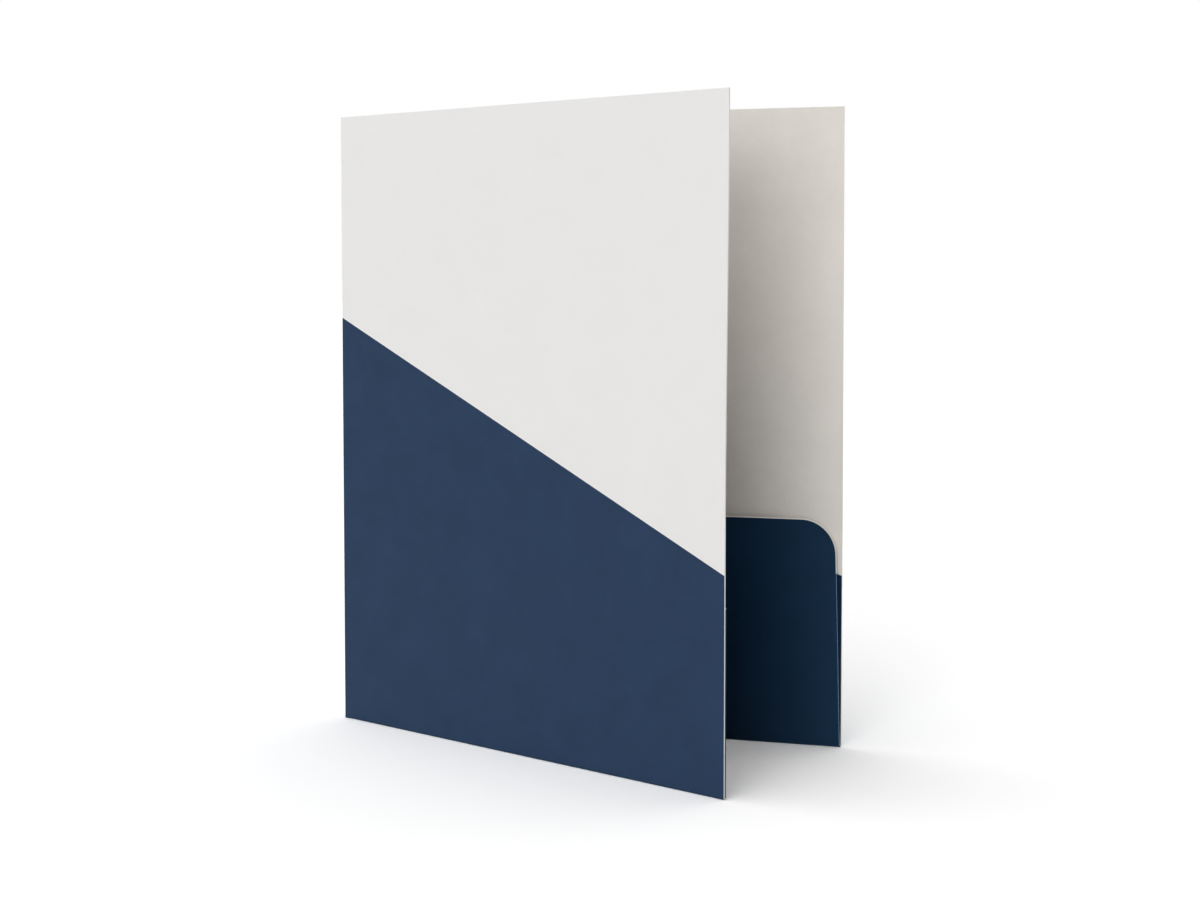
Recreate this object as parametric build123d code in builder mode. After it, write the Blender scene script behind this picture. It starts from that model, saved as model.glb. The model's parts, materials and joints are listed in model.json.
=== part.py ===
from build123d import *

import os
from math import asin, atan2, cos, hypot, radians, sin, tan

# A two pocket folder of printed board, standing open on its lower edges. Millimetres.
# +Z is up and the origin is the foot of the spine's middle. +X runs from the spine towards the
# free edges, half way between the covers. The back cover is on the +Y side, the front on the -Y side.

# Board and covers
board = 0.5  # thickness of the printed board
cover_width = 241.3  # from a spine crease to the free edge
cover_height = 292.1
spine_width = 12.7  # from crease to crease
opening_angle = 24.8  # degrees between the covers as the folder stands

# Creases and folds
crease_relief = 0.1  # from a crease bead to the panels on each side of it
layer_gap = 0.1  # between neighbouring panels that a fold joins

# Pockets
pocket_height = 105.0
pocket_mouth = 2.0  # from the cover to the back of the pocket's lip
pocket_corner = 16.0  # radius of the outer top corner
pocket_spine_corner = 3.0  # radius of the top corner beside the spine
pocket_spine_inset = 4.0  # from the crease to the foot of the pocket
pocket_spine_slope = 4.0  # how much further from the crease the pocket's lip is than its foot
pressed_clearance = 0.15  # left between a pressed pocket and the flap behind it

# Side gussets, with the flap that glues each one to its cover
gusset_height = 79.4  # at the cover's edge
gusset_rise = 0.8  # how much higher the gusset is at the pocket's edge
gusset_margin = 0.2  # from the cover's edge in to the gusset's foot
gusset_inset = 2.15  # from the cover's edge in to the pocket's edge, at the gusset's top
flap_width = 16.0
flap_bevel = 6.0  # how much the flap's ends run in
flap_foot = 2.0  # from the cover's sill up to the flap's lower end
glue_thickness = 0.15
glue_margin = 2.5  # of flap left dry round the glue

# The bottom fold is a half round of board between the cover and the pocket, and the cover's sill clears it
pocket_gap = board + glue_thickness + pressed_clearance
fold_inner = pocket_gap / 2
fold_outer = fold_inner + board
fold_depth = board / 2 + fold_inner
sill = fold_outer + layer_gap
crease_radius = board / 2
panel_start = crease_radius + crease_relief

# A pocket leans away from its cover by the width of its mouth
pocket_reach = pocket_height - fold_outer
lip_room = pocket_mouth - fold_inner
pocket_lean = asin(lip_room / hypot(pocket_reach, fold_inner)) - atan2(fold_inner, pocket_reach)


def mouth_depth(height):
    """Distance from the cover's inner face to the pocket's back, at a height above the floor."""
    return fold_inner + fold_inner / cos(pocket_lean) + (height - fold_outer) * tan(pocket_lean)


# The pocket's outer edge runs in from the cover's edge as it rises, and the gusset spans between them
gusset_top = gusset_height + gusset_rise
gusset_foot = cover_width - gusset_margin


def edge_inset(height):
    """Distance from the cover's free edge in to the pocket's outer edge, at a height above the floor."""
    return gusset_margin + (gusset_inset - gusset_margin) * height / gusset_top


def pocket_edge(reach):
    """Place of the pocket's outer edge across the cover, at a distance up the pocket from its fold line."""
    return cover_width - edge_inset(fold_outer + reach * cos(pocket_lean))


def gusset_slant(height):
    """Angle between the gusset and the cover's normal, at a height above the floor."""
    return atan2(edge_inset(height) - gusset_margin, mouth_depth(height))


# The back cover's middle plane: local X runs along the cover from its crease, local Y is up, and local Z
# points into the folder. The pocket's plane turns about the line of the bottom fold.
half_opening = radians(opening_angle / 2)
along = Vector(cos(half_opening), sin(half_opening), 0)
inward = Vector(sin(half_opening), -cos(half_opening), 0)
up = Vector(0, 0, 1)
back_crease = Vector(0, spine_width / 2, 0)
cover_plane = Plane(origin=back_crease, x_dir=along, z_dir=inward)
fold_line = cover_plane.from_local_coords((0, fold_outer, fold_depth))
pocket_front = inward * cos(pocket_lean) - up * sin(pocket_lean)
pocket_plane = Plane(origin=fold_line, x_dir=along, z_dir=pocket_front)

# Spine panel
with BuildPart() as spine:
    with BuildSketch():
        Rectangle(board, spine_width - 2 * panel_start)
    extrude(amount=cover_height)

# Crease bead that the back cover turns about
with BuildPart() as back_spine_crease:
    with BuildSketch(Plane(origin=back_crease)):
        Circle(crease_radius)
    extrude(amount=cover_height)

# Cover panel, raised over the bottom fold and down on the floor beside the spine
with BuildPart() as back_cover:
    heel = pocket_spine_inset - layer_gap
    with BuildSketch(cover_plane.offset(-board / 2)):
        with BuildLine():
            Polyline(
                (panel_start, 0),
                (heel, 0),
                (heel, sill),
                (cover_width, sill),
                (cover_width, cover_height),
                (panel_start, cover_height),
                close=True,
            )
        make_face()
    extrude(amount=board)

# Bottom fold that turns the board up into the pocket
with BuildPart() as back_pocket_fold:
    fold_profile = Plane(origin=fold_line + along * pocket_spine_inset, x_dir=-inward, z_dir=along)
    with BuildSketch(fold_profile):
        with BuildLine():
            ThreePointArc((-fold_outer, 0), (0, -fold_outer), (fold_outer, 0))
            Line((fold_outer, 0), (fold_inner, 0))
            ThreePointArc((fold_inner, 0), (0, -fold_inner), (-fold_inner, 0))
            Line((-fold_inner, 0), (-fold_outer, 0))
        make_face()
    extrude(amount=pocket_edge(0) - pocket_spine_inset)

# Pocket panel, with its outer edge on the gusset and its spine edge cut back on a slant
with BuildPart() as back_pocket:
    with BuildSketch(pocket_plane.offset(fold_inner)) as pocket_outline:
        with BuildLine():
            Polyline(
                (pocket_spine_inset, layer_gap),
                (pocket_edge(layer_gap), layer_gap),
                (pocket_edge(pocket_reach), pocket_reach),
                (pocket_spine_inset + pocket_spine_slope, pocket_reach),
                close=True,
            )
        make_face()
        outer_corner = pocket_outline.vertices().group_by(Axis.Y)[-1].sort_by(Axis.X)[-1]
        fillet(outer_corner, radius=pocket_corner)
        spine_corner = pocket_outline.vertices().group_by(Axis.Y)[-1].sort_by(Axis.X)[0]
        fillet(spine_corner, radius=pocket_spine_corner)
    extrude(amount=board)


def gusset_section(cover_side, pocket_side):
    """Section of the gusset whose ends are at two heights, one beside the cover and one beside the pocket."""
    slant = gusset_slant(pocket_side)
    corners = []
    for height, depth in ((cover_side, layer_gap), (pocket_side, mouth_depth(pocket_side) - layer_gap)):
        outer = gusset_foot - depth * tan(slant)
        corners.append([(place, height, board / 2 + depth) for place in (outer, outer - board / cos(slant))])
    outline = [*corners[0], *reversed(corners[1])]
    return Face(Wire.make_polygon([cover_plane.from_local_coords(corner) for corner in outline]))


# Side gusset, a web from the pocket's outer edge back to the cover beside its free edge, flatter as it rises
with BuildPart() as back_gusset:
    loft([gusset_section(sill, sill), gusset_section(gusset_height, gusset_top)], ruled=True)

# Glue flap, turned in from the gusset and stuck to the cover's inner face
flap_face = board / 2 + glue_thickness
head_slant = gusset_slant(gusset_top)
flap_edge = gusset_foot - board / cos(head_slant) - pocket_gap * tan(head_slant) - layer_gap


def flap_outline(margin):
    """Corners of the flap, or of the glue under it, set in by a margin."""
    foot = sill + flap_foot + margin
    head = gusset_height - margin
    edge = flap_edge - margin
    back = flap_edge - flap_width + margin
    return [(edge, foot), (edge, head), (back, head - flap_bevel), (back, foot + flap_bevel)]


with BuildPart() as back_glue_flap:
    with BuildSketch(cover_plane.offset(flap_face)):
        with BuildLine():
            Polyline(*flap_outline(0), close=True)
        make_face()
    extrude(amount=board)

# Dried glue between the flap and the cover
with BuildPart() as back_glue_strip:
    with BuildSketch(cover_plane.offset(board / 2)):
        with BuildLine():
            Polyline(*flap_outline(glue_margin), close=True)
        make_face()
    extrude(amount=glue_thickness)

os.makedirs("parts", exist_ok=True)
spine.part.label = "spine"
export_step(spine.part, "parts/spine.step")

# The front cover and all that it carries are the mirror image of the back, across the folder's middle
back_pieces = {
    "spine_crease": back_spine_crease,
    "cover": back_cover,
    "pocket_fold": back_pocket_fold,
    "pocket": back_pocket,
    "gusset": back_gusset,
    "glue_flap": back_glue_flap,
    "glue_strip": back_glue_strip,
}
for name, piece in back_pieces.items():
    with BuildPart() as front_piece:
        mirror(piece.part, about=Plane.XZ)
    piece.part.label = f"back_{name}"
    front_piece.part.label = f"front_{name}"
    export_step(piece.part, f"parts/back_{name}.step")
    export_step(front_piece.part, f"parts/front_{name}.step")
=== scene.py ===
"""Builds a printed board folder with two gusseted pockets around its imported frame, on a plain white stage."""

import json
from math import asin, atan2, cos, hypot, pi, radians, sin, tan

import bpy
import numpy as np
from bpy.props import FloatProperty, FloatVectorProperty, PointerProperty
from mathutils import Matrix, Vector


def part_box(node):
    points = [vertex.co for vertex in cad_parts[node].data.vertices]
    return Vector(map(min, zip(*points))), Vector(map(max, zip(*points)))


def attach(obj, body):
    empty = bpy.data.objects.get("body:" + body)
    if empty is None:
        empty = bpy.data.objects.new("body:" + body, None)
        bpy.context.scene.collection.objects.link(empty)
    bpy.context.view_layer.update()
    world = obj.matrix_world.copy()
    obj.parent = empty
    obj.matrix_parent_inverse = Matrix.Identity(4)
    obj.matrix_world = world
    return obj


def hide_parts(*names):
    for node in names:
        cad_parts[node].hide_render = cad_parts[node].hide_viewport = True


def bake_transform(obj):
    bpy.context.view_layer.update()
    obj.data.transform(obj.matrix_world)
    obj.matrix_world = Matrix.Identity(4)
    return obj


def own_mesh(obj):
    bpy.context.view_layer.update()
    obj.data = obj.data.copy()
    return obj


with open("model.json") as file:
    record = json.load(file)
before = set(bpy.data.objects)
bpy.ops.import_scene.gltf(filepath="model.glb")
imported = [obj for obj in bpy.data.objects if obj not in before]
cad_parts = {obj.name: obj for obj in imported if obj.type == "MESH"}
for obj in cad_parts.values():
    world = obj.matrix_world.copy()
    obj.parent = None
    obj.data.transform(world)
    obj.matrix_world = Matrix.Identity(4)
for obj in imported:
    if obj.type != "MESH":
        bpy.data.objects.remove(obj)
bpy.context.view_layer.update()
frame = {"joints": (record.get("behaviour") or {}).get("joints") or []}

bl_info = {
    "name": "Two pocket folder",
    "version": (1, 0, 0),
    "blender": (4, 5, 0),
    "location": "3D View > Sidebar > Folder",
    "description": "Builds a printed board folder with two gusseted pockets",
    "category": "Object",
}

MM = 0.001
HINGES = {joint["name"]: joint for joint in frame["joints"]}
BACK_HINGE = HINGES["back_cover_hinge"]
HALVES = ("front", "back")

# Rows and columns of points in the pieces' grids
PANEL_ROWS = 61  # up the spine and its creases
SPINE_COLUMNS = 13
CREASE_COLUMNS = 21  # round a spine crease
COVER_ROWS = 81
HEEL_COLUMNS = 4  # across a cover's heel, beside the spine
WIDE_COLUMNS = 61  # across a cover, a bottom fold and the flat of a pocket
FOLD_ROWS = 25  # round a bottom fold
SIDE_ROWS = 31  # up a gusset, its flap and the pocket's rolled edge
LIP_ROWS = 5  # from the gusset's top to the pocket's rounded corner
CORNER_ROWS = 29  # round the pocket's corner
ROLL_COLUMNS = 11  # round the roll from a pocket into its gusset
WEB_COLUMNS = 13  # across a gusset, round its foot and across its flap
BEAD_ROWS, BEAD_COLUMNS = 61, 9
RIM_RINGS = 6  # through a board at its cut edge
BOARD_SIDES = "brtl"  # bottom, right, top and left of a grid
SHARP_EDGE = radians(40)  # faces that meet at more than this aren't shaded as one

# Noise of the finishes: blobs to a metre, octaves of finer detail, and how strong those are
INK_CLOUD = 42.0, 5.0, 0.7
COAT_FIBRE = 1900.0, 2.0, 0.6
FOLD_CRACK = 700.0, 3.0, 0.7
INSIDE_CLOUD = 60.0, 4.0, 0.7
INSIDE_FELT = 900.0, 4.0, 0.65
INSIDE_FLECK = 1500.0, 1.0, 0.5
EDGE_PLY = 9000.0, 2.0, 0.5
EDGE_FRAY = 3500.0, 3.0, 0.7
GLUE_RIPPLE = 300.0, 3.0, 0.5

# Darkest and lightest share of its own colour that each finish clouds between
INK_SHADES = 0.80, 1.20
WHITE_SHADES = 0.97, 1.03
INSIDE_SHADES = 0.90, 1.10
CORE_SHADES = 0.88, 1.06
GLUE_SHADES = 0.85, 1.10

# Heights of the bumps
FIBRE_DEPTH = 0.004 * MM
FELT_DEPTH = 0.012 * MM
PLY_DEPTH = 0.01 * MM
RIPPLE_DEPTH = 0.03 * MM

# Level of gloss, least roughness, and what the noises and the wear add to it
COAT_GLOSS, COAT_ROUGHNESS = 0.05, 0.29
CLOUD_ROUGHNESS, FIBRE_ROUGHNESS, WORN_ROUGHNESS = 0.06, 0.05, 0.1
BARE_GLOSS, BARE_ROUGHNESS = 0.15, 0.78
FELT_ROUGHNESS, FRAY_ROUGHNESS = 0.12, 0.15
GLUE_GLOSS, GLUE_ROUGHNESS, RIPPLE_ROUGHNESS = 0.4, 0.3, 0.2

# Wear of the folds, and how it shows; on the pockets' rolled edges the pale colour is also a painted highlight
CREASE_WEAR = 0.35
FOLD_WEAR = 0.3
RUBBED_AND_HIGHLIGHT_SHARE, CRACKED_SHARE = 0.6, 0.3  # of the ink lost where a fold is fully worn, evenly and in cracks
CRACK_LEVEL, CRACK_CONTRAST = 0.42, 5.0
CORE_SHOWN = 0.5  # shade of the core that shows where a cover's print is rubbed

# Plain board: felted fibres, dark flecks, and plies drawn out along a cut edge
FELT_SHARE = 0.4  # of the shading, with the rest from the cloud
FLECK_LEVEL, FLECK_CONTRAST = 0.68, 12.0
FLECK_SHARE, FLECK_SHADE = 0.12, 0.6
PLY_SHARE = 0.7  # of the shading, with the rest from the fray
PLY_STRETCH = 0.08

# Sines that the glue's edge wanders on: radians from foot to head, radians at the foot, and share
GLUE_SINES = ((23.0, 0.0, 0.6), (57.0, 1.3, 0.4))

# Height of each light above the horizon, its turn to the right from straight in front, and its spread, all in
# degrees
LIGHTS = {"key": (10, 12, 30), "front": (45, 0, 40), "side": (50, -30, 90), "back": (50, -140, 120)}
FLOOR_REACH = 20.0  # metres from the origin to each side
FLOOR_DROP = 0.05 * MM  # keeps the floor clear of the folder's lower edges
SENSOR_WIDTH = 36.0  # millimetres, as the camera's settings are
SEEN_RANGE = 0.01, 100.0  # metres from the camera
PHOTO_WIDTH, PHOTO_SHIFT = 1200, -50  # pixels of the photograph: its width, and how far up its frame moves


def length(name, description, default):
    """A size in metres for the sidebar."""
    return FloatProperty(name=name, description=description, default=default, unit="LENGTH", precision=5)


def angle(name, description, degrees):
    """An angle for the sidebar, given in degrees."""
    return FloatProperty(name=name, description=description, default=radians(degrees), subtype="ANGLE")


def number(name, description, default):
    """A plain amount for the sidebar."""
    return FloatProperty(name=name, description=description, default=default, min=0)


def colour(name, description, default):
    """A linear colour for the sidebar."""
    return FloatVectorProperty(
        name=name, description=description, default=default, subtype="COLOR", size=3, min=0, max=1
    )


class FolderSizes(bpy.types.PropertyGroup):
    """Sizes of the folder as it is cut, creased and folded"""

    board: length("Board", "Thickness of the printed board", 0.5 * MM)
    cover_width: length("Cover width", "From a spine crease to the free edge", 241.3 * MM)
    cover_height: length("Cover height", "From the floor to the top edge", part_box("spine")[1].z)
    spine_width: length("Spine width", "From crease to crease", 2 * BACK_HINGE["pos_m"][1])
    half_opening: angle("Half opening", "From the folder's middle to a cover", -BACK_HINGE["range_deg"][0])
    panel_start: length("Panel start", "From a crease to the flat of the panels beside it", 0.35 * MM)
    score_ridge: length("Score ridge", "Height of the ridge that the score leaves inside a crease", 0.07 * MM)
    crown: length("Cut edge crown", "How far the middle of a cut edge stands proud", 0.03 * MM)
    die_edge: length("Die edge", "How far the cutting die turns a cover's printed edge down", 0.16 * MM)
    lip_edge: length("Lip edge", "How far the cutting die turns a pocket's printed edge down", 0.4 * MM)
    curl: length("Curl", "How far the upper free corners curl inwards", 1.8 * MM)
    curl_start: number("Curl start", "Share of the cover's height where the curl begins", 0.36)

    fold_inner: length("Fold inner radius", "Inside of the bottom fold", 0.4 * MM)
    pocket_height: length("Pocket height", "From the floor along the pocket to its lip", 105.0 * MM)
    pocket_mouth: length("Pocket mouth", "From the cover to the back of the pocket's lip", 2.0 * MM)
    pocket_corner: length("Pocket corner", "Radius of the outer top corner", 16.0 * MM)
    spine_corner: length("Spine corner", "Radius of the top corner beside the spine", 3.0 * MM)
    spine_inset: length("Spine inset", "From the crease to the foot of the pocket", 4.0 * MM)
    spine_slope: length("Spine slope", "How much further from the crease the lip starts", 4.0 * MM)

    gusset_height: length("Gusset height", "At the cover's edge", 79.4 * MM)
    gusset_rise: length("Gusset rise", "How much higher the gusset is at the pocket", 0.8 * MM)
    gusset_margin: length("Gusset margin", "From the cover's edge in to the gusset's foot", 0.2 * MM)
    gusset_inset: length("Gusset inset", "From the cover's edge to the pocket's, at the top", 2.15 * MM)
    side_fold: length("Side fold", "Outer radius of the folds at both edges of a gusset", 0.55 * MM)
    flap_width: length("Flap width", "From the fold at the gusset's foot across the glued flap", 17.4 * MM)
    flap_bevel: length("Flap bevel", "How much the flap's ends run in", 6.0 * MM)
    flap_foot: length("Flap foot", "From the cover's sill to the flap", 2.0 * MM)
    layer_gap: length("Layer gap", "Between neighbouring panels", 0.1 * MM)
    glue: length("Glue", "Thickness of the dried glue", 0.15 * MM)
    glue_margin: length("Glue margin", "Flap left dry round the glue", 2.5 * MM)
    glue_wander: length("Glue wander", "How far the glue's edge wanders", 0.6 * MM)


class FolderFinish(bpy.types.PropertyGroup):
    """Colours and print of the folder"""

    white: colour("White", "Coated face of the board", (0.826, 0.818, 0.806))
    navy: colour("Navy", "Ink of the slanting print", (0.0245, 0.0480, 0.1000))
    # Painted shade: a darker copy of the cover's navy, though the pockets carry the same ink on the same side
    # of the sheet
    pocket: colour("Pocket", "Ink of the pockets", (0.0095, 0.0315, 0.0710))
    # Painted shade: a darker copy again of the navy, for the gussets, which turn away from the light
    gusset: colour("Gusset", "Ink of the gussets and their flaps", (0.0028, 0.0170, 0.0450))
    inside: colour("Inside", "Uncoated face of the board", (0.81, 0.775, 0.728))
    core: colour("Core", "Cut edge of the board", (0.86, 0.86, 0.85))
    # Pale blue along the pockets' rolled edges: partly fold wear, partly a painted highlight
    rubbed_ink_and_highlight: colour("Rubbed ink", "Ink on the fold at a pocket's outer edge", (0.25, 0.40, 0.60))
    glue: colour("Glue", "Dried glue", (0.72, 0.69, 0.60))
    split_at_spine: length("Split at spine", "Height of the print's slanting edge at the spine", 195.8 * MM)
    split_at_edge: length("Split at edge", "Height of the print's slanting edge at the free edge", 93.1 * MM)
    split_blur: length("Split blur", "Width over which the print's slanting edge fades", 0.06 * MM)
    split_tooth: length("Split tooth", "How far fibres draw the print's slanting edge up and down", 0.12 * MM)


class FolderStage(bpy.types.PropertyGroup):
    """Floor, light and camera"""

    lens: FloatProperty(name="Lens", description="Focal length", default=63.64, unit="CAMERA")
    camera: FloatVectorProperty(
        name="Camera",
        description="Place of the camera",
        default=(0.6335, -0.8259, 0.2158),
        subtype="TRANSLATION",
    )
    yaw: angle("Yaw", "Turn of the camera to the left of +Y", 30.792)
    pitch: angle("Pitch", "Downward tilt of the camera", 3.502)
    shift: FloatProperty(
        name="Shift",
        description="Camera shift as a share of the image width",
        default=PHOTO_SHIFT / PHOTO_WIDTH,
    )
    key: number("Key", "Strength of the low light beside the camera", 1.22)
    front: number("Front", "Strength of the light in front", 0.50)
    side: number("Side", "Strength of the broad light in front, on the spine's side", 0.72)
    back: number("Back", "Strength of the broad light behind", 1.95)
    ambient: number("Ambient", "Strength of the soft light from all round", 0.01)
    floor: number("Floor", "How much light the floor gives back to the folder", 0.8)
    floor_seen: number("Floor seen", "How strongly the floor shows light and shade", 1.2)
    floor_glow: number("Floor glow", "White added to the floor as the camera sees it", 0.075)


def ease(share):
    """Smooth step: three times the square of a share less twice its cube, with the share held from 0 to 1."""
    held = np.clip(share, 0, 1)
    return held * held * (3 - 2 * held)


class Half:
    """One half of the folder, in the flat coordinates of its cover: u across the cover from its crease, z up
    from the floor, and n inwards from the middle of the cover's board."""

    def __init__(self, name, sizes):
        self.name = name
        self.sizes = sizes
        self.mirrored = name == "front"
        self.face = sizes.board / 2
        self.fold_outer = sizes.fold_inner + sizes.board
        self.fold_axis = self.face + sizes.fold_inner
        self.reach = sizes.pocket_height - self.fold_outer
        lip_room = sizes.pocket_mouth - sizes.fold_inner
        self.lean = asin(lip_room / hypot(self.reach, sizes.fold_inner)) - atan2(sizes.fold_inner, self.reach)
        self.gusset_top = sizes.gusset_height + sizes.gusset_rise
        self.gusset_foot = sizes.cover_width - sizes.gusset_margin
        self.foot_centre = self.gusset_foot - sizes.side_fold, sizes.glue + sizes.side_fold

    def place(self, u, z, n):
        """Points in the row frame: x = u cos a + n sin a, y = spine / 2 + u sin a - n cos a, with y turned
        over on the front half."""
        u, z, n = np.broadcast_arrays(u, z, n)
        a = self.sizes.half_opening
        x = u * cos(a) + n * sin(a)
        y = self.sizes.spine_width / 2 + u * sin(a) - n * cos(a)
        return np.stack([x, -y if self.mirrored else y, z], axis=-1)

    def flat(self, u, up):
        """Flat layout of the printed sheet: spine / 2 + u across, turned over on the front half, and up."""
        across = self.sizes.spine_width / 2 + u
        return np.stack(np.broadcast_arrays(-across if self.mirrored else across, up), axis=-1)

    def on_pocket(self, u, reach, m):
        """Points of the leaning pocket: reach runs up it from the fold's axis and m is the distance in front
        of that axis, so n = axis + m cos l + reach sin l and z = radius + reach cos l - m sin l."""
        n = self.fold_axis + m * cos(self.lean) + reach * sin(self.lean)
        z = self.fold_outer + reach * cos(self.lean) - m * sin(self.lean)
        return self.place(u, z, n)

    def mouth(self, z, m):
        """Depth from the cover's inner face to the plane at m in front of the fold's axis, at height z."""
        return self.sizes.fold_inner + m / cos(self.lean) + (z - self.fold_outer) * tan(self.lean)

    def side(self, z):
        """Place across the cover of the pocket's outer edge, which runs in evenly as it rises."""
        run_in = self.sizes.gusset_inset - self.sizes.gusset_margin
        return self.gusset_foot - run_in * z / self.gusset_top

    def roll(self, z):
        """Centre, as u and depth, of the fold from the pocket into its gusset at height z, and the gusset's
        slant from the cover's normal. The gusset touches this fold and the one at its foot, which have one
        radius, so it runs along the line between their centres."""
        sizes = self.sizes
        first = np.arctan2(self.gusset_foot - self.side(z), self.mouth(z, sizes.fold_inner))
        u = self.side(z) - sizes.side_fold * np.cos(first)
        depth = self.mouth(z, self.fold_outer - sizes.side_fold)
        foot_u, foot_depth = self.foot_centre
        return u, depth, np.arctan2(foot_u - u, depth - foot_depth)

    def curl(self, u, z):
        """Inward curl: the corner's amount times the square of the share across, eased in from its start."""
        sizes = self.sizes
        start = sizes.curl_start * sizes.cover_height
        across = np.clip(u / sizes.cover_width, 0, 1)
        return sizes.curl * across**2 * ease((z - start) / (sizes.cover_height - start))

    def piece(self, noun):
        """The name of one of this half's pieces, bodies or nodes."""
        return f"{self.name}_{noun}"


def add_object(name, data):
    """A new object at the origin, in the scene."""
    item = bpy.data.objects.new(name, data)
    bpy.context.scene.collection.objects.link(item)
    return item


def add_mesh(name, points, faces, corners, indices, worn, finishes):
    """A smooth mesh object, with its flat layout as a UV map and, as an attribute, the wear of its folds, which
    on the pockets' rolled edges also marks a painted highlight.
    """
    mesh = bpy.data.meshes.new(name)
    mesh.from_pydata(points, [], faces)
    layout = mesh.uv_layers.new(name="flat")
    layout.data.foreach_set("uv", np.ascontiguousarray(corners, dtype=np.float32).ravel())
    mesh.attributes.new("worn", "FLOAT", "POINT").data.foreach_set("value", worn.astype(np.float32))
    for finish in finishes:
        mesh.materials.append(finish)
    mesh.polygons.foreach_set("material_index", indices.astype(np.int32))
    mesh.shade_smooth()
    mesh.set_sharp_from_angle(angle=SHARP_EDGE)
    mesh.validate()
    return add_object(name, mesh)


def rim_rings(outer, inner, crown):
    """Rings of points between the edges of two matching loops: straight across, plus a crown of 4 t (1 - t)
    outwards, where outwards is the loop's own direction crossed with the way through the board."""
    through = inner - outer
    ahead = np.roll(outer, -1, axis=0) - np.roll(outer, 1, axis=0)
    outwards = np.cross(ahead, through)
    outwards /= np.linalg.norm(outwards, axis=1, keepdims=True)
    t = np.linspace(0, 1, RIM_RINGS)[1:-1, None, None]
    return outer + t * through + 4 * t * (1 - t) * crown[:, None] * outwards


def rim_layout(outer, inner):
    """Flat layout of a rim's faces: the run round the outer loop across, and the way through the board up."""
    steps = np.linalg.norm(np.roll(outer, -1, axis=0) - outer, axis=1)
    run = np.concatenate([[0], np.cumsum(steps)])
    through = np.linspace(0, np.linalg.norm(inner[0] - outer[0]), RIM_RINGS)
    start, end, low, high = run[:-1], run[1:], through[:-1], through[1:]
    places = ((start, low), (end, low), (end, high), (start, high))
    corners = [np.stack(np.meshgrid(*place), axis=-1) for place in places]
    return np.stack(corners, axis=2).reshape(-1, 4, 2)


def add_board(name, turned, outer, inner, flat, finishes, cut=BOARD_SIDES, worn=0.0, crown=0.0):
    """A closed board between two grids of points that match, with its printed face on the outer grid, its
    plain face on the inner one and a crowned rim between them. The grids run up in rows and across in
    columns, and cut names the sides that are cut edges. The printed face looks against the cross product of
    across and up or, on a turned board, along it."""
    rows, columns = outer.shape[:2]
    count = rows * columns
    grid = np.arange(count).reshape(rows, columns)
    loop = np.concatenate([grid[0, :-1], grid[:-1, -1], grid[-1, :0:-1], grid[:0:-1, 0]])
    sides = np.repeat(list(BOARD_SIDES), [columns - 1, rows - 1, columns - 1, rows - 1])
    is_cut = np.isin(sides, list(cut))
    crowns = crown * (is_cut & np.roll(is_cut, 1))
    outer_loop, inner_loop = outer.reshape(-1, 3)[loop], inner.reshape(-1, 3)[loop]
    rings = rim_rings(outer_loop, inner_loop, -crowns if turned else crowns)
    points = np.concatenate([outer.reshape(-1, 3), inner.reshape(-1, 3), rings.reshape(-1, 3)])

    quads = np.stack([grid[:-1, :-1], grid[:-1, 1:], grid[1:, 1:], grid[1:, :-1]], axis=-1).reshape(-1, 4)
    middle = 2 * count + np.arange(rings.shape[0] * len(loop)).reshape(rings.shape[0], len(loop))
    belts = np.concatenate([loop[None], middle, loop[None] + count])
    ahead = np.roll(belts, -1, axis=1)
    rim = np.stack([belts[:-1], ahead[:-1], ahead[1:], belts[1:]], axis=-1).reshape(-1, 4)
    faces = np.concatenate([quads[:, ::-1], quads + count, rim])

    layout = flat.reshape(-1, 2)
    corners = np.concatenate([layout[quads[:, ::-1]], layout[quads], rim_layout(outer_loop, inner_loop)])
    indices = np.repeat([0, 1, 2], [len(quads), len(quads), len(rim)])
    grid_wear_and_highlight = np.broadcast_to(worn, (rows, columns)).ravel()
    point_wear_and_highlight = np.concatenate([grid_wear_and_highlight, grid_wear_and_highlight, np.zeros(middle.size)])
    if turned:
        faces, corners = faces[:, ::-1], corners[:, ::-1]
    return add_mesh(name, points, faces, corners, indices, point_wear_and_highlight, finishes)


class Amount:
    """A number that changes over a surface. Arithmetic on it adds Math nodes to its graph."""

    def __init__(self, graph, socket):
        self.graph = graph
        self.socket = socket

    def worked(self, operation, *operands):
        """The result of a Math node on operands, in order."""
        node = self.graph.add("ShaderNodeMath", {"operation": operation}, dict(enumerate(operands)))
        return self.graph.amount(node, 0)

    def __add__(self, other):
        return self.worked("ADD", self, other)

    def __sub__(self, other):
        return self.worked("SUBTRACT", self, other)

    def __rsub__(self, other):
        return self.worked("SUBTRACT", other, self)

    def __mul__(self, other):
        return self.worked("MULTIPLY", self, other)

    def __abs__(self):
        return self.worked("ABSOLUTE", self)

    def at_least(self, low):
        """The number, or the low one where it is under that."""
        return self.worked("MAXIMUM", self, low)

    def held(self):
        """The number kept between 0 and 1."""
        return self.worked("MINIMUM", self.at_least(0.0), 1.0)

    def past(self, level, contrast):
        """How far the number is past a level, times a contrast, kept between 0 and 1."""
        return ((self - level) * contrast).held()

    __radd__ = __add__
    __rmul__ = __mul__


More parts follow.
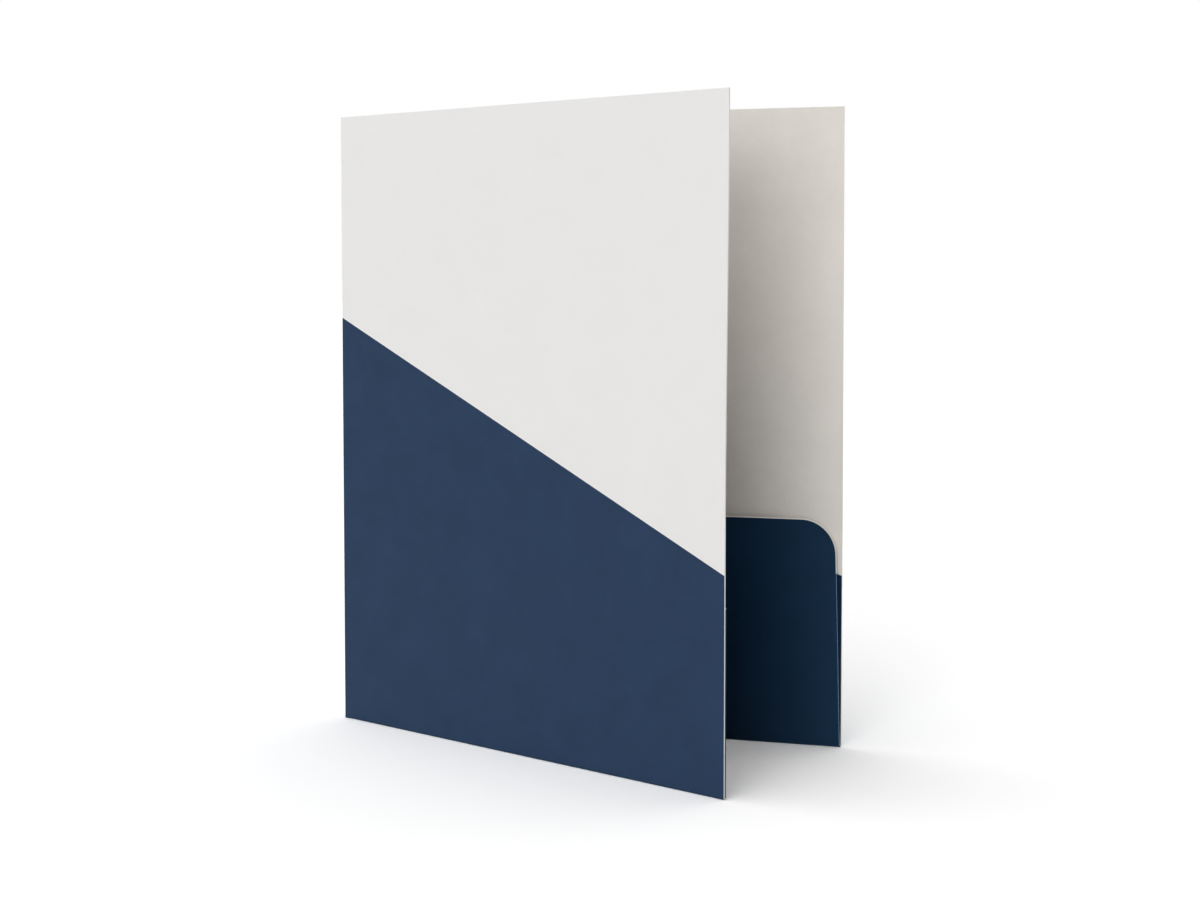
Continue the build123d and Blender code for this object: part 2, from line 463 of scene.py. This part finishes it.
class Graph:
    """A node tree, emptied, with one method that adds any node to it."""

    def __init__(self, tree):
        self.tree = tree
        tree.nodes.clear()

    def add(self, kind, settings=None, sockets=None):
        """A node of a kind, with its settings made first and then its sockets, which take values or links."""
        node = self.tree.nodes.new(kind)
        for key, value in (settings or {}).items():
            setattr(node, key, value)
        for key, value in (sockets or {}).items():
            socket = value.socket if isinstance(value, Amount) else value
            if isinstance(socket, bpy.types.NodeSocket):
                self.tree.links.new(socket, node.inputs[key])
            else:
                node.inputs[key].default_value = socket
        return node

    def amount(self, node, output):
        """A node's output as an amount."""
        return Amount(self, node.outputs[output])

    def mix(self, share, first, second):
        """The socket of a colour that goes from the first to the second as the share goes from 0 to 1."""
        sockets = {0: share, 6: rgba(first), 7: rgba(second)}
        return self.add("ShaderNodeMix", {"data_type": "RGBA"}, sockets).outputs[2]

    def clouded(self, share, value, shades):
        """The socket of a colour that goes between two shades of itself as the share goes from 0 to 1."""
        dark, light = shades
        return self.mix(share, shade(value, dark), shade(value, light))

    def noise(self, where, grain):
        """Cloudy noise about 0.5, of a grain given as blobs to a metre, octaves and their strength."""
        scale, detail, roughness = grain
        sockets = {"Vector": where, "Scale": scale, "Detail": detail, "Roughness": roughness}
        return self.amount(self.add("ShaderNodeTexNoise", {"noise_dimensions": "3D"}, sockets), "Fac")

    def bump(self, height, distance):
        """The socket of a normal that follows a height of so many metres."""
        sockets = {"Strength": 1.0, "Distance": distance, "Height": height}
        return self.add("ShaderNodeBump", {}, sockets).outputs[0]


def rgba(value):
    """A colour with its alpha, or a socket as it is."""
    return value if isinstance(value, bpy.types.NodeSocket) else (*value, 1.0)


def shade(value, share):
    """A colour made lighter or darker by a share."""
    return tuple(min(1.0, channel * share) for channel in value)


def new_finish(name):
    """A new material and its graph."""
    finish = bpy.data.materials.new(name)
    finish.use_nodes = True
    return finish, Graph(finish.node_tree)


def close_finish(graph, sockets):
    """Ends a graph with the surface shader and the output."""
    shader = graph.add("ShaderNodeBsdfPrincipled", {}, sockets)
    graph.add("ShaderNodeOutputMaterial", {}, {"Surface": shader.outputs[0]})


def flat_place(graph):
    """The socket of the place on the flat layout, in metres."""
    return graph.add("ShaderNodeUVMap", {"uv_map": "flat"}).outputs[0]


def flat_ways(graph, where):
    """The amounts across and up the flat layout, in metres."""
    apart = graph.add("ShaderNodeSeparateXYZ", {}, {0: where})
    return graph.amount(apart, 0), graph.amount(apart, 1)


def split_share(graph, where, fibre, colours, sizes):
    """1 below the print's slanting edge and 0 above it. The edge falls evenly from the spine outwards."""
    across, up = flat_ways(graph, where)
    drop = (colours.split_at_spine - colours.split_at_edge) / sizes.cover_width
    over = (abs(across) - sizes.spine_width / 2).at_least(0.0)
    edge = colours.split_at_spine - over * drop + (fibre - 0.5) * colours.split_tooth
    return (edge - up).past(-colours.split_blur / 2, 1 / colours.split_blur)


def printed_finish(name, ink_and_painted_shade, colours, split_sizes=None):
    """Satin coated print: an ink all over, or ink below the slanting split and white above it, with a cloudy
    ink lay-down, fibres under the coating and pale cracks where a fold is worn. The pockets' and gussets' inks
    are darker copies of the navy, painted shade, and the pale colour on the pockets' rolled edges is partly
    fold wear and partly a painted highlight."""
    finish, graph = new_finish(name)
    where = flat_place(graph)
    cloud = graph.noise(where, INK_CLOUD)
    fibre = graph.noise(where, COAT_FIBRE)
    face, rubbed_ink_and_highlight = graph.clouded(cloud, ink_and_painted_shade, INK_SHADES), colours.rubbed_ink_and_highlight
    if split_sizes:
        bare = graph.clouded(cloud, colours.white, WHITE_SHADES)
        printed = split_share(graph, where, fibre, colours, split_sizes)
        face, rubbed_ink_and_highlight = graph.mix(printed, bare, face), shade(colours.core, CORE_SHOWN)
    worn = graph.amount(graph.add("ShaderNodeAttribute", {"attribute_name": "worn"}), "Fac")
    crack = graph.noise(where, FOLD_CRACK).past(CRACK_LEVEL, CRACK_CONTRAST)
    roughness = cloud * CLOUD_ROUGHNESS + fibre * FIBRE_ROUGHNESS + worn * WORN_ROUGHNESS + COAT_ROUGHNESS
    sockets = {
        # Pale colour on worn folds, which on the pockets' rolled edges is also a painted highlight
        "Base Color": graph.mix(worn * (crack * CRACKED_SHARE + RUBBED_AND_HIGHLIGHT_SHARE), face, rubbed_ink_and_highlight),
        "Roughness": roughness,
        "Specular IOR Level": COAT_GLOSS,
        "Normal": graph.bump(fibre, FIBRE_DEPTH),
    }
    close_finish(graph, sockets)
    return finish


def inside_finish(name, colours):
    """Uncoated board: warm, matt, with felted fibres and faint flecks."""
    finish, graph = new_finish(name)
    where = flat_place(graph)
    felt = graph.noise(where, INSIDE_FELT)
    cloud = graph.noise(where, INSIDE_CLOUD)
    fleck = graph.noise(where, INSIDE_FLECK).past(FLECK_LEVEL, FLECK_CONTRAST)
    base = graph.clouded(felt * FELT_SHARE + cloud * (1 - FELT_SHARE), colours.inside, INSIDE_SHADES)
    sockets = {
        "Base Color": graph.mix(fleck * FLECK_SHARE, base, shade(colours.inside, FLECK_SHADE)),
        "Roughness": felt * FELT_ROUGHNESS + BARE_ROUGHNESS,
        "Specular IOR Level": BARE_GLOSS,
        "Normal": graph.bump(felt, FELT_DEPTH),
    }
    close_finish(graph, sockets)
    return finish


def edge_finish(name, colours):
    """Cut edge of the board: pressed plies that run along the edge, and their fray."""
    finish, graph = new_finish(name)
    where = flat_place(graph)
    across, up = flat_ways(graph, where)
    along_plies = graph.add("ShaderNodeCombineXYZ", {}, {0: across * PLY_STRETCH, 1: up, 2: 0.0}).outputs[0]
    ply = graph.noise(along_plies, EDGE_PLY)
    fray = graph.noise(where, EDGE_FRAY)
    sockets = {
        "Base Color": graph.clouded(ply * PLY_SHARE + fray * (1 - PLY_SHARE), colours.core, CORE_SHADES),
        "Roughness": fray * FRAY_ROUGHNESS + BARE_ROUGHNESS,
        "Specular IOR Level": BARE_GLOSS,
        "Normal": graph.bump(ply, PLY_DEPTH),
    }
    close_finish(graph, sockets)
    return finish


def glue_finish(name, colours):
    """Dried glue: milky, half glossy and a little rippled."""
    finish, graph = new_finish(name)
    ripple = graph.noise(flat_place(graph), GLUE_RIPPLE)
    sockets = {
        "Base Color": graph.clouded(ripple, colours.glue, GLUE_SHADES),
        "Roughness": ripple * RIPPLE_ROUGHNESS + GLUE_ROUGHNESS,
        "Specular IOR Level": GLUE_GLOSS,
        "Normal": graph.bump(ripple, RIPPLE_DEPTH),
    }
    close_finish(graph, sockets)
    return finish


def board_finishes(scene, printed):
    """Materials of a board's printed face, plain face and cut edge, made once."""
    colours, sizes = scene.folder_finish, scene.folder_sizes
    makers = {
        "cover_print": lambda name: printed_finish(name, colours.navy, colours, sizes),
        # The pocket print's darker ink is painted shade
        "pocket_print": lambda name: printed_finish(name, colours.pocket, colours),
        # The gusset print's still darker ink is painted shade
        "gusset_print": lambda name: printed_finish(name, colours.gusset, colours),
        "plain_inside": lambda name: inside_finish(name, colours),
        "cut_edge": lambda name: edge_finish(name, colours),
    }
    names = (printed, "plain_inside", "cut_edge")
    return [bpy.data.materials.get(name) or makers[name](name) for name in names]


def spine_panel(sizes, finishes):
    """Flat panel of the spine: y runs between the creases, z up, and x is minus or plus half the board."""
    half = sizes.spine_width / 2 - sizes.panel_start
    across = np.linspace(-half, half, SPINE_COLUMNS)
    y, z = np.meshgrid(across, np.linspace(0, sizes.cover_height, PANEL_ROWS))
    flat = np.stack([y, z], axis=-1)
    outer = np.stack([np.full_like(y, -sizes.board / 2), y, z], axis=-1)
    inner = outer + (sizes.board, 0, 0)
    return add_board("spine_board", False, outer, inner, flat, finishes, cut="bt", crown=sizes.crown)


def crease_bend(half, finishes):
    """Rounded bend between the spine and a cover: an arc that is tangent to both panels where they start,
    with the score's ridge, a square of a sine, raised along the inside."""
    sizes = half.sizes
    turn = pi / 2 - sizes.half_opening
    radius = sizes.panel_start / tan(turn / 2)
    round_bend = np.linspace(0, 1, CREASE_COLUMNS)
    share, z = np.meshgrid(round_bend, np.linspace(0, sizes.cover_height, PANEL_ROWS))
    swing = share * turn
    hump = np.sin(pi * share) ** 2
    centre_x, centre_y = radius, sizes.spine_width / 2 - sizes.panel_start

    def arc(size):
        """The face at a distance of size from the bend's centre."""
        x = centre_x - size * np.cos(swing)
        y = centre_y + size * np.sin(swing)
        return np.stack([x, -y if half.mirrored else y, z], axis=-1)

    return add_board(
        half.piece("crease_bend"),
        half.mirrored,
        arc(radius + half.face),
        arc(radius - half.face - sizes.score_ridge * hump),
        half.flat(swing * radius - sizes.panel_start, z),
        finishes,
        cut="bt",
        worn=CREASE_WEAR * hump,
        crown=sizes.crown,
    )


def cover_panel(half, finishes):
    """Cover panel on a grid of u and z. It stands on the floor beside the spine and starts at the fold line
    where the pocket is, and its upper free corner curls inwards."""
    sizes = half.sizes
    heel = np.linspace(sizes.panel_start, sizes.spine_inset - sizes.layer_gap, HEEL_COLUMNS)
    wide = np.linspace(sizes.spine_inset, sizes.cover_width, WIDE_COLUMNS)
    u, share = np.meshgrid(np.concatenate([heel, wide]), np.linspace(0, 1, COVER_ROWS))
    foot = np.where(u < sizes.spine_inset - sizes.layer_gap / 2, 0, half.fold_outer)

    def face(offset, margin):
        """The face at an offset from the board's middle, with its cut edges in by a margin."""
        u_in = np.minimum(u, sizes.cover_width - margin)
        z = foot + (sizes.cover_height - margin - foot) * share
        return half.place(u_in, z, half.curl(u_in, z) + offset), half.flat(u_in, z)

    outer, flat = face(-half.face, sizes.die_edge)
    inner, _ = face(half.face, 0)
    name = half.piece("cover_board")
    return add_board(name, half.mirrored, outer, inner, flat, finishes, cut="rt", crown=sizes.crown)


def bottom_fold(half, finishes):
    """Bottom fold: a half round that turns the board up from the cover into the leaning pocket. An angle p
    runs from the cover's side, through straight down, to the pocket's plane: n = axis - r cos p and
    z = radius - r sin p."""
    sizes = half.sizes
    wide = np.linspace(sizes.spine_inset, half.side(half.fold_outer), WIDE_COLUMNS)
    u, swing = np.meshgrid(wide, np.linspace(0, pi - half.lean, FOLD_ROWS))

    def bend(radius):
        """The face at a radius from the fold's axis."""
        z = half.fold_outer - radius * np.sin(swing)
        return half.place(u, z, half.fold_axis - radius * np.cos(swing))

    return add_board(
        half.piece("bottom_fold"),
        not half.mirrored,
        bend(half.fold_outer),
        bend(sizes.fold_inner),
        half.flat(u, half.fold_outer * (1 - swing)),
        finishes,
        cut="rl",
        worn=FOLD_WEAR * np.sin(swing) ** 2,
        crown=sizes.crown,
    )


def pocket_panel(half, finishes):
    """Pocket panel on rows of reach and columns across. Its top corners are quarter circles, as its rows end
    on them, and below the gusset's top its outer edge rolls back into the gusset."""
    sizes = half.sizes
    top, radius = half.reach, sizes.side_fold
    gusset_end = (half.gusset_top - half.fold_outer) / cos(half.lean)
    strip = half.side(half.gusset_top) - half.roll(half.gusset_top)[0]
    flats, bends = np.linspace(0, 1, WIDE_COLUMNS), np.linspace(0, 1, ROLL_COLUMNS)[1:]
    sweep = np.linspace(0, pi / 2, CORNER_ROWS)[1:]

    def face(size, m_flat, margin):
        """The face whose roll has a radius of size: flat at m_flat, then round the roll's centre. Its cut
        edges are in by a margin, and so are the arcs of its corners."""
        beside_gusset = np.linspace(0, gusset_end, SIDE_ROWS)
        straight = np.linspace(gusset_end + sizes.layer_gap, top - sizes.pocket_corner, LIP_ROWS)
        round_corner = top - sizes.pocket_corner + (sizes.pocket_corner - margin) * np.sin(sweep)
        reach = np.concatenate([beside_gusset, straight, round_corner])[:, None]
        z = half.fold_outer + reach * cos(half.lean)
        rolled = reach <= gusset_end
        roll_u, _, slant = half.roll(z)

        def corner(arc):
            """How far a corner of some radius takes the edge in."""
            rise = np.clip(reach - (top - arc), 0, arc - margin)
            return arc - np.sqrt((arc - margin) ** 2 - rise**2)

        left = sizes.spine_inset + sizes.spine_slope * reach / top + corner(sizes.spine_corner)
        flat_end = np.where(rolled, roll_u, half.side(z) - corner(sizes.pocket_corner) - strip)
        swing = bends * (pi / 2 - slant)
        u_flat = left + (flat_end - left) * flats
        u_roll = flat_end + np.where(rolled, size * np.sin(swing), strip * bends)
        m_roll = np.where(rolled, half.fold_outer - radius + size * np.cos(swing), m_flat)
        u = np.concatenate([u_flat, u_roll], axis=1)
        m = np.concatenate([np.full_like(u_flat, m_flat), m_roll], axis=1)
        return half.on_pocket(u, reach, m), half.flat(u, -reach), rolled

    front, flat, rolled = face(radius, half.fold_outer, sizes.lip_edge)
    behind, _, _ = face(radius - sizes.board, sizes.fold_inner, 0)
    return add_board(
        half.piece("pocket_board"),
        not half.mirrored,
        front,
        behind,
        flat,
        finishes,
        cut="rtl",
        # Full wear across the roll into the gusset, whose pale colour is partly wear and partly a painted
        # highlight
        worn=np.concatenate([np.zeros(len(flats)), np.sqrt(np.sin(pi * bends).clip(0))]) * rolled,
        crown=sizes.crown,
    )


def gusset_web(half, finishes):
    """Side gusset: from the end of the pocket's rolled edge it runs straight back along the gusset's slant,
    then turns in under its own flap on an arc. Its top edge falls by the gusset's rise on the way."""
    sizes = half.sizes
    foot = half.fold_outer
    runs, bends = np.linspace(0, 1, WEB_COLUMNS), np.linspace(0, 1, WEB_COLUMNS)[1:]
    share = np.linspace(0, 1, SIDE_ROWS)[:, None]
    back = np.concatenate([runs, np.ones(len(bends))])
    turned = np.concatenate([np.zeros(len(runs)), bends])
    z = foot + (half.gusset_top - sizes.gusset_rise * back - foot) * share
    roll_u, roll_depth, slant = half.roll(foot + (half.gusset_top - foot) * share)
    foot_u, foot_depth = half.foot_centre
    swing = slant - turned * (pi / 2 + slant)

    def face(size):
        """The face at a distance of size from the line between the two folds' centres."""
        u = roll_u + (foot_u - roll_u) * back + size * np.cos(swing)
        depth = roll_depth + (foot_depth - roll_depth) * back + size * np.sin(swing)
        return half.place(u, z, half.face + depth)

    outer, inner = face(sizes.side_fold), face(sizes.side_fold - sizes.board)
    flat = half.flat(sizes.cover_width + (back + turned) * sizes.gusset_inset, -z)
    name = half.piece("gusset_web")
    return add_board(name, not half.mirrored, outer, inner, flat, finishes, cut="bt", crown=sizes.crown)


def flap_grid(half, margin, rows, columns):
    """Places across and up the flap, or the glue under it, set in by a margin. Its ends run in towards its
    back on the bevel."""
    sizes = half.sizes
    edge = half.foot_centre[0] - margin
    back = half.foot_centre[0] - sizes.flap_width + margin
    foot = half.fold_outer + sizes.layer_gap + sizes.flap_foot + margin
    head = sizes.gusset_height - margin
    in_share, up_share = np.meshgrid(np.linspace(0, 1, columns), np.linspace(0, 1, rows))
    run_in = sizes.flap_bevel * (1 - in_share)
    u = back + (edge - back) * in_share
    z = foot + run_in + (head - foot - 2 * run_in) * up_share
    return u, z, in_share, up_share


def glue_flap(half, finishes):
    """Glued flap: a flat board on the glue, its printed face to the cover."""
    sizes = half.sizes
    u, z, _, _ = flap_grid(half, 0, SIDE_ROWS, WEB_COLUMNS)
    low = half.face + sizes.glue
    outer, inner = half.place(u, z, low), half.place(u, z, low + sizes.board)
    flat = half.flat(sizes.cover_width + u, -z)
    name = half.piece("flap_board")
    return add_board(name, half.mirrored, outer, inner, flat, finishes, cut="btl", crown=sizes.crown)


def glue_bead(half, finish):
    """Pressed glue: a thin layer whose long edges wander on two sines."""
    sizes = half.sizes
    u, z, in_share, up_share = flap_grid(half, sizes.glue_margin, BEAD_ROWS, BEAD_COLUMNS)
    wander = sum(np.sin(up_share * turns + start) * share for turns, start, share in GLUE_SINES)
    u = u + sizes.glue_wander * wander * (2 * in_share - 1)
    outer, inner = half.place(u, z, half.face), half.place(u, z, half.face + sizes.glue)
    flat = np.stack([u, z], axis=-1)
    name, finishes = half.piece("glue_bead"), [finish] * 3
    return add_board(name, half.mirrored, outer, inner, flat, finishes, crown=sizes.crown)


def halves(scene):
    """Both halves of the folder at the scene's sizes."""
    return [Half(name, scene.folder_sizes) for name in HALVES]


class FOLDER_OT_spine(bpy.types.Operator):
    """Lays the spine panel"""

    bl_idname = "folder.spine"
    bl_label = "Spine"

    def execute(self, context):
        piece = spine_panel(context.scene.folder_sizes, board_finishes(context.scene, "cover_print"))
        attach(piece, "spine")
        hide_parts("spine")
        return {"FINISHED"}


class FOLDER_OT_creases(bpy.types.Operator):
    """Bends the board round the two spine creases"""

    bl_idname = "folder.creases"
    bl_label = "Spine creases"

    def execute(self, context):
        for half in halves(context.scene):
            piece = crease_bend(half, board_finishes(context.scene, "cover_print"))
            half.piece("cover")
            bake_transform(piece)
            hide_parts(half.piece("spine_crease"))
        return {"FINISHED"}


class FOLDER_OT_covers(bpy.types.Operator):
    """Lays the two cover panels with the slanting print"""

    bl_idname = "folder.covers"
    bl_label = "Covers"

    def execute(self, context):
        for half in halves(context.scene):
            piece = cover_panel(half, board_finishes(context.scene, "cover_print"))
            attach(piece, half.piece("cover"))
            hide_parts(half.piece("cover"))
        return {"FINISHED"}


class FOLDER_OT_bottom_folds(bpy.types.Operator):
    """Turns the board up at the two bottom folds"""

    bl_idname = "folder.bottom_folds"
    bl_label = "Bottom folds"

    def execute(self, context):
        for half in halves(context.scene):
            # The bottom folds take the pockets' darker ink, which is painted shade
            piece = bottom_fold(half, board_finishes(context.scene, "pocket_print"))
            start = half.place(0, half.fold_outer, half.face)
            end = half.place(0, half.fold_outer, half.face + 2 * half.sizes.fold_inner)
            half.piece("cover")
            half.piece("pocket")
            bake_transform(piece)
            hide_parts(half.piece("pocket_fold"))
        return {"FINISHED"}


class FOLDER_OT_pockets(bpy.types.Operator):
    """Lays the two pocket panels with their rounded corners"""

    bl_idname = "folder.pockets"
    bl_label = "Pockets"

    def execute(self, context):
        for half in halves(context.scene):
            # The pockets take their darker ink, which is painted shade
            piece = pocket_panel(half, board_finishes(context.scene, "pocket_print"))
            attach(piece, half.piece("pocket"))
            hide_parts(half.piece("pocket"))
        return {"FINISHED"}


class FOLDER_OT_gussets(bpy.types.Operator):
    """Closes the pockets' sides with the gussets"""

    bl_idname = "folder.gussets"
    bl_label = "Gussets"

    def execute(self, context):
        for half in halves(context.scene):
            # The gussets take their darker ink, which is painted shade
            piece = gusset_web(half, board_finishes(context.scene, "gusset_print"))
            sizes = half.sizes
            anchor = half.place(sizes.cover_width, 0, half.face + sizes.glue)
            inwards = half.place(0, 0, 1) - half.place(0, 0, 0)
            open_depth = half.mouth(half.gusset_top, half.fold_outer) - sizes.glue
            shut_depth = sizes.fold_inner + half.fold_outer - sizes.glue
            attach(piece, half.piece("cover"))
            half.piece("pocket_fold_hinge")
            shut_depth / open_depth
            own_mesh(piece)
            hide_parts(half.piece("gusset"))
        return {"FINISHED"}


class FOLDER_OT_glued_flaps(bpy.types.Operator):
    """Sticks the gussets' flaps to the covers"""

    bl_idname = "folder.glued_flaps"
    bl_label = "Glued flaps"

    def execute(self, context):
        glue = glue_finish("pressed_glue", context.scene.folder_finish)
        for half in halves(context.scene):
            # The flaps take the gussets' darker ink, which is painted shade
            flap = glue_flap(half, board_finishes(context.scene, "gusset_print"))
            bead = glue_bead(half, glue)
            stuck = ((flap, "glue_flap", "pocket_board"), (bead, "glue_strip", "dried_glue"))
            for piece, node, slot in stuck:
                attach(piece, half.piece("cover"))
                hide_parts(half.piece(node))
        return {"FINISHED"}


def seen_share(graph):
    """1 for what the camera sees, by itself, in gloss or through something clear, and 0 for other light."""
    path = graph.add("ShaderNodeLightPath")
    rays = ("Is Camera Ray", "Is Glossy Ray", "Is Transmission Ray")
    camera, gloss, clear = (graph.amount(path, ray) for ray in rays)
    return (camera + gloss + clear).held()


def floor_finish(stage):
    """White floor that keeps the folder's shade: plain to the light, and lifted to white for the camera."""
    finish, graph = new_finish("white_floor")
    plain = graph.add("ShaderNodeBsdfDiffuse", {}, {"Color": rgba((stage.floor,) * 3)})
    shown = graph.add("ShaderNodeBsdfDiffuse", {}, {"Color": rgba((stage.floor_seen,) * 3)})
    glow = graph.add("ShaderNodeEmission", {}, {"Strength": stage.floor_glow})
    lifted = graph.add("ShaderNodeAddShader", {}, {0: shown.outputs[0], 1: glow.outputs[0]})
    sockets = {0: seen_share(graph), 1: plain.outputs[0], 2: lifted.outputs[0]}
    mixed = graph.add("ShaderNodeMixShader", {}, sockets)
    graph.add("ShaderNodeOutputMaterial", {}, {"Surface": mixed.outputs[0]})
    return finish


def add_floor(stage):
    """Flat floor, a square about the origin."""
    x, y = np.meshgrid([-FLOOR_REACH, FLOOR_REACH], [-FLOOR_REACH, FLOOR_REACH])
    points = np.stack([x, y, np.full_like(x, -FLOOR_DROP)], axis=-1).reshape(-1, 3)
    mesh = bpy.data.meshes.new("floor")
    mesh.from_pydata(points, [], [(0, 1, 3, 2)])
    mesh.materials.append(floor_finish(stage))
    return add_object("floor", mesh)


def add_lights(stage):
    """Broad lamps far away, each at its own height and turn."""
    for name, (height, turn, spread) in LIGHTS.items():
        lamp = bpy.data.lights.new(name, "SUN")
        lamp.energy = getattr(stage, name)
        lamp.angle = radians(spread)
        add_object(name, lamp).rotation_euler = (radians(90 - height), 0, radians(turn))


def add_world(stage):
    """Surroundings that are white to the camera and only faintly light the folder."""
    world = bpy.data.worlds.new("studio")
    world.use_nodes = True
    graph = Graph(world.node_tree)
    soft = graph.add("ShaderNodeBackground", {}, {"Strength": stage.ambient, "Color": (1, 1, 1, 1)})
    white = graph.add("ShaderNodeBackground", {}, {"Strength": 1.0, "Color": (1, 1, 1, 1)})
    sockets = {0: seen_share(graph), 1: soft.outputs[0], 2: white.outputs[0]}
    mixed = graph.add("ShaderNodeMixShader", {}, sockets)
    graph.add("ShaderNodeOutputWorld", {}, {"Surface": mixed.outputs[0]})
    return world


def add_camera(stage):
    """Camera at its place, turned to the left by its yaw and down by its pitch."""
    lens = bpy.data.cameras.new("camera")
    lens.lens = stage.lens
    lens.sensor_width = SENSOR_WIDTH
    lens.shift_y = stage.shift
    lens.clip_start, lens.clip_end = SEEN_RANGE
    camera = add_object("camera", lens)
    camera.location = stage.camera
    camera.rotation_euler = (pi / 2 - stage.pitch, 0, stage.yaw)
    return camera


class FOLDER_OT_stage(bpy.types.Operator):
    """Sets the white floor, the soft light and the camera"""

    bl_idname = "folder.stage"
    bl_label = "Stage"

    def execute(self, context):
        scene, stage = context.scene, context.scene.folder_stage
        add_floor(stage)
        add_lights(stage)
        scene.world = add_world(stage)
        scene.camera = add_camera(stage)
        scene.view_settings.view_transform = "Standard"
        return {"FINISHED"}


STEPS = (
    FOLDER_OT_spine,
    FOLDER_OT_creases,
    FOLDER_OT_covers,
    FOLDER_OT_bottom_folds,
    FOLDER_OT_pockets,
    FOLDER_OT_gussets,
    FOLDER_OT_glued_flaps,
    FOLDER_OT_stage,
)
GROUPS = {"folder_sizes": FolderSizes, "folder_finish": FolderFinish, "folder_stage": FolderStage}


class FOLDER_PT_sidebar(bpy.types.Panel):
    """The folder's sizes, colours and steps"""

    bl_label = "Two pocket folder"
    bl_idname = "FOLDER_PT_sidebar"
    bl_space_type = "VIEW_3D"
    bl_region_type = "UI"
    bl_category = "Folder"

    def draw(self, context):
        for step in STEPS:
            self.layout.operator(step.bl_idname)
        for name, group in GROUPS.items():
            column = self.layout.column(align=True)
            for key in group.__annotations__:
                column.prop(getattr(context.scene, name), key)


CLASSES = (*GROUPS.values(), *STEPS, FOLDER_PT_sidebar)


def register():
    for item in CLASSES:
        bpy.utils.register_class(item)
    for name, group in GROUPS.items():
        setattr(bpy.types.Scene, name, PointerProperty(type=group))


def unregister():
    for name in GROUPS:
        delattr(bpy.types.Scene, name)
    for item in reversed(CLASSES):
        bpy.utils.unregister_class(item)


def main():
    register()
    bpy.ops.folder.spine()
    bpy.ops.folder.creases()
    bpy.ops.folder.covers()
    bpy.ops.folder.bottom_folds()
    bpy.ops.folder.pockets()
    bpy.ops.folder.gussets()
    bpy.ops.folder.glued_flaps()
    bpy.ops.folder.stage()


if __name__ == "__main__":
    main()
